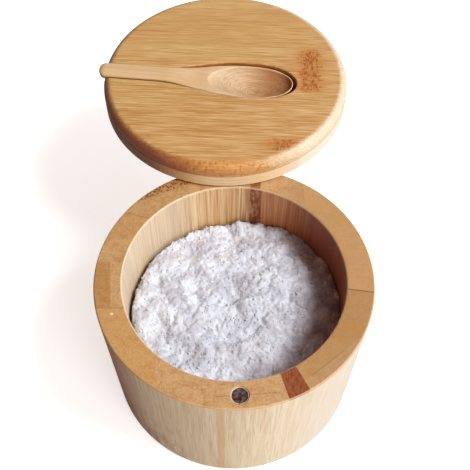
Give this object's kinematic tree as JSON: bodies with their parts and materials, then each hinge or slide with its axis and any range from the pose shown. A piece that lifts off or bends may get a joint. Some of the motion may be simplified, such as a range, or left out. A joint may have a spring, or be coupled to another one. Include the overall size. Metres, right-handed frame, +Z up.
{
  "type": "salt box with swivel lid",
  "caption": "Round bamboo salt box with a thick lid that swings sideways on an upright pin, magnets that hold it shut and a small spoon lying in a pocket in the lid.",
  "frame": {"origin": "centre of the flat underside that the box stands on", "axes": "+Z up, +Y towards the lid's pivot pin, -Y towards the closing magnet in the rim, +X to the right as seen from the magnet side; stored with the lid swung half a turn open"},
  "size_m": [0.0916, 0.171, 0.0713],
  "materials": {
    "bamboo_box": "satin",
    "bamboo_base": "satin",
    "bamboo_lid": "satin",
    "bamboo_lid_low": "satin",
    "bamboo_spoon": "satin",
    "salt": "matt",
    "magnet": "satin",
    "pin_steel": "satin",
    "bush_brass": "satin"
  },
  "bodies": {
    "box": {"box_wall": "bamboo_box", "base_plate": "bamboo_base", "salt": "salt", "box_magnet": "magnet", "pivot_pin": "pin_steel"},
    "lid": {"lid_bottom_ply": "bamboo_lid_low", "lid_top_ply": "bamboo_lid", "lid_magnet": "magnet", "pivot_bush": "bush_brass"},
    "spoon": {"spoon": "bamboo_spoon"}
  },
  "joints": [
    {"name": "lid_swivel", "type": "hinge", "parent": "box", "child": "lid", "pos_m": [0, 0.0405, 0.06], "axis": [0, 0, 1], "continuous": true},
    {"name": "spoon_lift", "type": "slide", "parent": "lid", "child": "spoon", "axis": [0, 0, 1], "range_m": [0, 0.03]}
  ]
}
